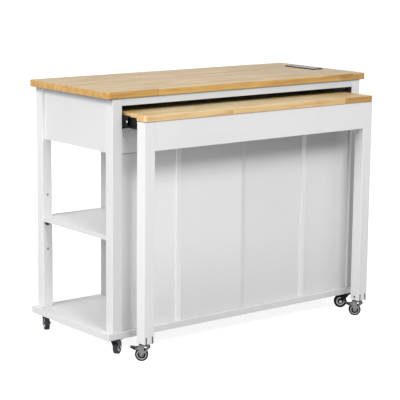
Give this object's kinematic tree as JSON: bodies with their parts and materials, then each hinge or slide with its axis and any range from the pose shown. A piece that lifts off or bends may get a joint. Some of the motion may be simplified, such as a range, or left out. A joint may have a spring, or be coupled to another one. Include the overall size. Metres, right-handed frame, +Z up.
{
  "type": "kitchen island with pull-out table",
  "caption": "White kitchen island on casters with a wooden worktop, open end shelves, doors and drawers, and a legged dining table that pulls out on slides.",
  "frame": {"origin": "on the floor under the middle of the whole island, with the table pulled out as it rests", "axes": "+X along the worktop towards the closed end, +Y towards the doors and drawers, +Z up"},
  "size_m": [1.2, 0.62, 0.923],
  "materials": {
    "white_paint": "satin white paint on boards",
    "butcher_block": "oiled pale block board",
    "grey_strip": "matte",
    "black_steel": "black coated steel",
    "zinc_steel": "bright zinc plate",
    "satin_nickel": "satin nickel",
    "tyre_rubber": "black tread on a pale rim",
    "black_plastic": "fine texture"
  },
  "bodies": {
    "cabinet": {"base_panel": "white_paint", "post_front_left": "white_paint", "post_front_right": "white_paint", "post_back_left": "white_paint", "post_back_right": "white_paint", "left_end_panel": "white_paint", "right_end_panel": "white_paint", "front_panels": "white_paint", "panel_battens": "white_paint", "top_rails": "white_paint", "sill_board": "white_paint", "deck_panel": "white_paint", "partition_panel": "white_paint", "back_fascia": "white_paint", "side_shelf": "white_paint", "cabinet_shelf": "white_paint", "slide_bearers": "white_paint", "drawer_guides": "white_paint", "worktop": "butcher_block", "panel_joint_strip": "grey_strip", "slide_cabinet_members": "black_steel", "caster_plates": "black_steel", "shelf_pins": "satin_nickel", "door_hinge_frames": "satin_nickel", "power_strip_body": "black_plastic", "power_strip_sockets": "black_plastic"},
    "slide_middles": {"slide_middle_members": "black_steel"},
    "table": {"table_top": "butcher_block", "table_leg_left": "white_paint", "table_leg_right": "white_paint", "table_apron": "white_paint", "table_rails": "white_paint", "slide_table_members": "black_steel", "table_caster_stems": "zinc_steel"},
    "door_left": {"door_left": "white_paint", "door_left_hinge_leaves": "satin_nickel", "door_left_knob": "satin_nickel"},
    "drawer_left": {"drawer_left_front": "white_paint", "drawer_left_box": "white_paint", "drawer_left_knob": "satin_nickel"},
    "door_right": {"door_right": "white_paint", "door_right_hinge_leaves": "satin_nickel", "door_right_knob": "satin_nickel"},
    "drawer_right": {"drawer_right_front": "white_paint", "drawer_right_box": "white_paint", "drawer_right_knob": "satin_nickel"},
    "caster_front_left": {"caster_fork_front_left": "black_steel"},
    "wheel_front_left": {"caster_wheel_front_left": "tyre_rubber"},
    "caster_front_right": {"caster_fork_front_right": "black_steel"},
    "wheel_front_right": {"caster_wheel_front_right": "tyre_rubber"},
    "caster_back_left": {"caster_fork_back_left": "black_steel"},
    "wheel_back_left": {"caster_wheel_back_left": "tyre_rubber"},
    "caster_back_right": {"caster_fork_back_right": "black_steel"},
    "wheel_back_right": {"caster_wheel_back_right": "tyre_rubber"},
    "table_caster_left": {"table_caster_fork_left": "zinc_steel"},
    "table_wheel_left": {"table_caster_wheel_left": "tyre_rubber"},
    "table_brake_left": {"table_caster_brake_left": "black_plastic"},
    "table_caster_right": {"table_caster_fork_right": "zinc_steel"},
    "table_wheel_right": {"table_caster_wheel_right": "tyre_rubber"},
    "table_brake_right": {"table_caster_brake_right": "black_plastic"}
  },
  "joints": [
    {"name": "table_slide", "type": "slide", "parent": "cabinet", "child": "table", "axis": [0, -1, 0], "range_m": [-0.061, 0.239]},
    {"name": "slide_middle_travel", "type": "slide", "parent": "cabinet", "child": "slide_middles", "axis": [0, -1, 0], "range_m": [-0.0305, 0.1195]},
    {"name": "door_left_hinge", "type": "hinge", "parent": "cabinet", "child": "door_left", "pos_m": [-0.2795, 0.2913, 0.3955], "axis": [0, 0, 1], "range_deg": [0, 170]},
    {"name": "door_right_hinge", "type": "hinge", "parent": "cabinet", "child": "door_right", "pos_m": [0.5345, 0.2913, 0.3955], "axis": [0, 0, -1], "range_deg": [0, 170]},
    {"name": "drawer_left_slide", "type": "slide", "parent": "cabinet", "child": "drawer_left", "axis": [0, 1, 0], "range_m": [0, 0.3]},
    {"name": "drawer_right_slide", "type": "slide", "parent": "cabinet", "child": "drawer_right", "axis": [0, 1, 0], "range_m": [0, 0.3]},
    {"name": "caster_front_left_swivel", "type": "hinge", "parent": "cabinet", "child": "caster_front_left", "pos_m": [-0.555, -0.172, 0.055], "axis": [0, 0, 1], "continuous": true},
    {"name": "wheel_front_left_spin", "type": "hinge", "parent": "caster_front_left", "child": "wheel_front_left", "pos_m": [-0.53488, -0.15716, 0.025], "axis": [-0.5934, 0.8049, 0], "continuous": true},
    {"name": "caster_front_right_swivel", "type": "hinge", "parent": "cabinet", "child": "caster_front_right", "pos_m": [0.555, -0.172, 0.055], "axis": [0, 0, 1], "continuous": true},
    {"name": "wheel_front_right_spin", "type": "hinge", "parent": "caster_front_right", "child": "wheel_front_right", "pos_m": [0.53546, -0.1564, 0.025], "axis": [-0.6239, -0.7815, 0], "continuous": true},
    {"name": "caster_back_left_swivel", "type": "hinge", "parent": "cabinet", "child": "caster_back_left", "pos_m": [-0.555, 0.272, 0.055], "axis": [0, 0, 1], "continuous": true},
    {"name": "wheel_back_left_spin", "type": "hinge", "parent": "caster_back_left", "child": "wheel_back_left", "pos_m": [-0.56501, 0.24909, 0.025], "axis": [0.9164, -0.4003, 0], "continuous": true},
    {"name": "caster_back_right_swivel", "type": "hinge", "parent": "cabinet", "child": "caster_back_right", "pos_m": [0.555, 0.272, 0.055], "axis": [0, 0, 1], "continuous": true},
    {"name": "wheel_back_right_spin", "type": "hinge", "parent": "caster_back_right", "child": "wheel_back_right", "pos_m": [0.53151, 0.26345, 0.025], "axis": [0.342, -0.9397, 0], "continuous": true},
    {"name": "table_caster_left_swivel", "type": "hinge", "parent": "table", "child": "table_caster_left", "pos_m": [-0.507, -0.285, 0.055], "axis": [0, 0, 1], "continuous": true},
    {"name": "table_wheel_left_spin", "type": "hinge", "parent": "table_caster_left", "child": "table_wheel_left", "pos_m": [-0.51716, -0.27689, 0.023], "axis": [-0.6239, -0.7815, 0], "continuous": true},
    {"name": "table_brake_left_press", "type": "hinge", "parent": "table_caster_left", "child": "table_brake_left", "pos_m": [-0.53045, -0.26628, 0.045], "axis": [-0.6239, -0.7815, 0], "range_deg": [0, 25]},
    {"name": "table_caster_right_swivel", "type": "hinge", "parent": "table", "child": "table_caster_right", "pos_m": [0.507, -0.285, 0.055], "axis": [0, 0, 1], "continuous": true},
    {"name": "table_wheel_right_spin", "type": "hinge", "parent": "table_caster_right", "child": "table_wheel_right", "pos_m": [0.49684, -0.27689, 0.023], "axis": [-0.6239, -0.7815, 0], "continuous": true},
    {"name": "table_brake_right_press", "type": "hinge", "parent": "table_caster_right", "child": "table_brake_right", "pos_m": [0.48355, -0.26628, 0.045], "axis": [-0.6239, -0.7815, 0], "range_deg": [0, 25]}
  ],
  "couplings": [
    {"joint": "slide_middle_travel", "follows": "table_slide", "ratio": 0.5}
  ]
}
